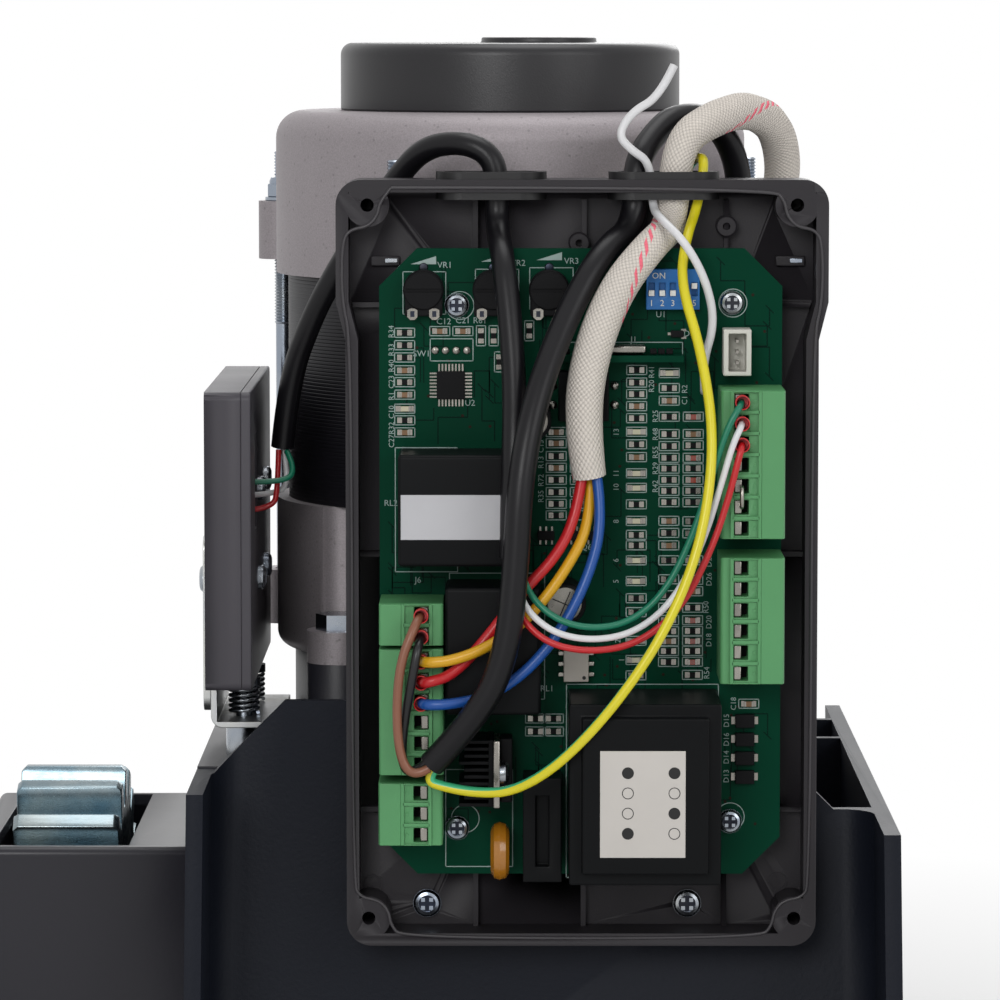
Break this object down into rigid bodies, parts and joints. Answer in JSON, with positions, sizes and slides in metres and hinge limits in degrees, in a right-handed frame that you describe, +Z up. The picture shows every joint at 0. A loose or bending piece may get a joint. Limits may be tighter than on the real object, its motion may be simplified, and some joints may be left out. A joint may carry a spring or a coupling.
{
  "type": "sliding gate motor",
  "caption": "Sliding gate motor with its cover off: base, worm gearbox, rack pinion, upright motor, limit switch and wired control board.",
  "frame": {"origin": "centre of the four foundation bolts, on the underside of the base", "axes": "+X away from the gate and its rack, +Y from the control board to the back of the base, +Z up"},
  "size_m": [0.226, 0.2386, 0.2964],
  "materials": {
    "base_paint": "textured satin powder coat",
    "deck_paint": "satin powder coat",
    "guard_paint": "satin",
    "cast_alloy": "as cast",
    "zinc_steel": "zinc plated",
    "plain_steel": "ground",
    "gear_bronze": "machined",
    "core_steel": "black varnish",
    "copper_wire": "enamelled",
    "black_plastic": "satin",
    "tray_plastic": "satin",
    "switch_plastic": "satin",
    "board_green": "solder mask",
    "terminal_green": "satin",
    "black_rubber": "matte",
    "varistor_orange": "dipped",
    "switch_blue": "satin",
    "white_plastic": "satin",
    "sleeve_weave": "woven",
    "wire_insulation": "smooth"
  },
  "bodies": {
    "housing": {"base_housing": "base_paint", "gearbox_case": "deck_paint", "gearbox_cover": "cast_alloy", "gearbox_screws": "zinc_steel", "bearings": "plain_steel", "shaft_seal": "black_rubber", "pinion_guard": "guard_paint", "stator_core": "core_steel", "stator_windings": "copper_wire", "upper_bell": "cast_alloy", "lower_bell": "cast_alloy", "motor_studs": "zinc_steel", "motor_cap": "black_plastic", "float_screws": "zinc_steel", "float_springs": "zinc_steel", "control_tray": "tray_plastic", "cable_grommets": "black_rubber", "tray_screws": "zinc_steel", "circuit_board": "board_green", "terminal_blocks": "terminal_green", "transformer": "black_plastic", "relays": "black_plastic", "fuse_holder": "black_plastic", "varistor": "varistor_orange", "semiconductors": "black_plastic", "capacitors": "black_plastic", "receiver_board": "board_green", "sensor_connector": "white_plastic", "trimmer_bases": "black_plastic", "dip_switch": "switch_blue", "learn_switch": "black_plastic", "mains_cable": "black_rubber", "limit_cable": "black_rubber", "motor_sleeve": "sleeve_weave", "antenna_wire": "wire_insulation", "earth_wire": "wire_insulation", "mains_wires": "wire_insulation", "motor_wires": "wire_insulation", "signal_wires": "wire_insulation", "switch_tails": "wire_insulation"},
    "output": {"output_shaft": "plain_steel", "worm_wheel": "gear_bronze", "pinion": "zinc_steel", "shaft_fittings": "zinc_steel"},
    "rotor": {"rotor_shaft": "plain_steel", "rotor_core": "core_steel"},
    "switch_float": {"switch_case": "switch_plastic", "switch_lid": "switch_plastic", "switch_screws": "zinc_steel", "reed_sensor": "board_green", "switch_bracket": "zinc_steel"},
    "learn_key": {"learn_button": "black_plastic"},
    "trimmer_1": {"trimmer_rotor_1": "black_plastic"},
    "trimmer_2": {"trimmer_rotor_2": "black_plastic"},
    "trimmer_3": {"trimmer_rotor_3": "black_plastic"},
    "slider_1": {"dip_slider_1": "white_plastic"},
    "slider_2": {"dip_slider_2": "white_plastic"},
    "slider_3": {"dip_slider_3": "white_plastic"},
    "slider_4": {"dip_slider_4": "white_plastic"},
    "slider_5": {"dip_slider_5": "white_plastic"}
  },
  "joints": [
    {"name": "rotor_turn", "type": "hinge", "parent": "housing", "child": "rotor", "pos_m": [-0.008, 0, 0.2], "axis": [0, 0, 1], "continuous": true},
    {"name": "output_turn", "type": "hinge", "parent": "housing", "child": "output", "pos_m": [-0.1, -0.036, 0.077], "axis": [1, 0, 0], "continuous": true},
    {"name": "switch_lift", "type": "slide", "parent": "housing", "child": "switch_float", "axis": [0, 0, 1], "range_m": [0, 0.0025], "stiffness_N_per_m": 800, "springref_m": -0.005, "deforming": ["float_springs"]},
    {"name": "learn_press", "type": "slide", "parent": "housing", "child": "learn_key", "axis": [0, 1, 0], "range_m": [0, 0.0004], "stiffness_N_per_m": 2000},
    {"name": "trimmer_1_turn", "type": "hinge", "parent": "housing", "child": "trimmer_1", "pos_m": [-0.0285, -0.0915, 0.2368], "axis": [0, -1, 0], "range_deg": [-130, 130]},
    {"name": "trimmer_2_turn", "type": "hinge", "parent": "housing", "child": "trimmer_2", "pos_m": [-0.012, -0.0915, 0.2368], "axis": [0, -1, 0], "range_deg": [-130, 130]},
    {"name": "trimmer_3_turn", "type": "hinge", "parent": "housing", "child": "trimmer_3", "pos_m": [0.0014, -0.0915, 0.2368], "axis": [0, -1, 0], "range_deg": [-130, 130]},
    {"name": "slider_1_slide", "type": "slide", "parent": "housing", "child": "slider_1", "axis": [0, 0, 1], "range_m": [0, 0.0017]},
    {"name": "slider_2_slide", "type": "slide", "parent": "housing", "child": "slider_2", "axis": [0, 0, 1], "range_m": [0, 0.0017]},
    {"name": "slider_3_slide", "type": "slide", "parent": "housing", "child": "slider_3", "axis": [0, 0, 1], "range_m": [0, 0.0017]},
    {"name": "slider_4_slide", "type": "slide", "parent": "housing", "child": "slider_4", "axis": [0, 0, 1], "range_m": [0, 0.0017]},
    {"name": "slider_5_slide", "type": "slide", "parent": "housing", "child": "slider_5", "axis": [0, 0, 1], "range_m": [-0.0017, 0]}
  ],
  "couplings": [
    {"joint": "output_turn", "follows": "rotor_turn", "ratio": -0.038462}
  ]
}
